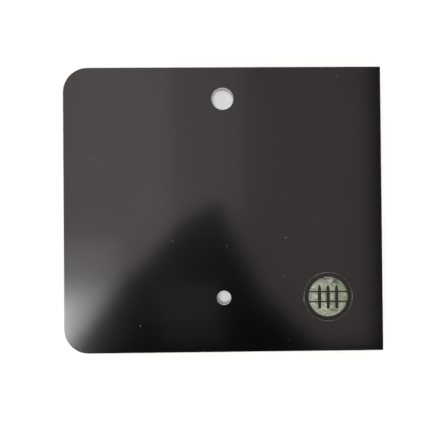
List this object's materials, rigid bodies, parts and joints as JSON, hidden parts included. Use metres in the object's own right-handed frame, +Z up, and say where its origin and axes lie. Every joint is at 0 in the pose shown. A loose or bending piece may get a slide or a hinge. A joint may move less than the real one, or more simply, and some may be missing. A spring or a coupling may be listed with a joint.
{
  "type": "fence post cap",
  "caption": "Flat laminated plate that covers the top of a fence post, with two screw holes, rounded corners on one side, a round inlaid badge and a foam seal underneath.",
  "frame": {"origin": "middle of the underside, where the foam seal rests on the post's top", "axes": "+X towards the square-cornered side, +Y towards the side of the large screw hole, +Z up out of the black face"},
  "size_m": [0.1, 0.0896, 0.004],
  "materials": {
    "satin_black_face": "coil-coated satin black",
    "milky_core": "sawn polyethylene",
    "mill_back": "wash-coated mill finish",
    "bright_bezel": "bright turned",
    "marbled_green": "pale green marbled",
    "badge_black": "satin black enamel",
    "seal_foam": "closed-cell foam"
  },
  "bodies": {
    "root": {"face_skin": "satin_black_face", "core_sheet": "milky_core", "back_skin": "mill_back", "badge_bezel": "bright_bezel", "badge_disc": "marbled_green", "badge_band": "badge_black", "badge_motif": "badge_black", "seal_strip_left": "seal_foam", "seal_strip_right": "seal_foam", "seal_strip_front": "seal_foam", "seal_strip_back": "seal_foam"}
  },
  "joints": []
}
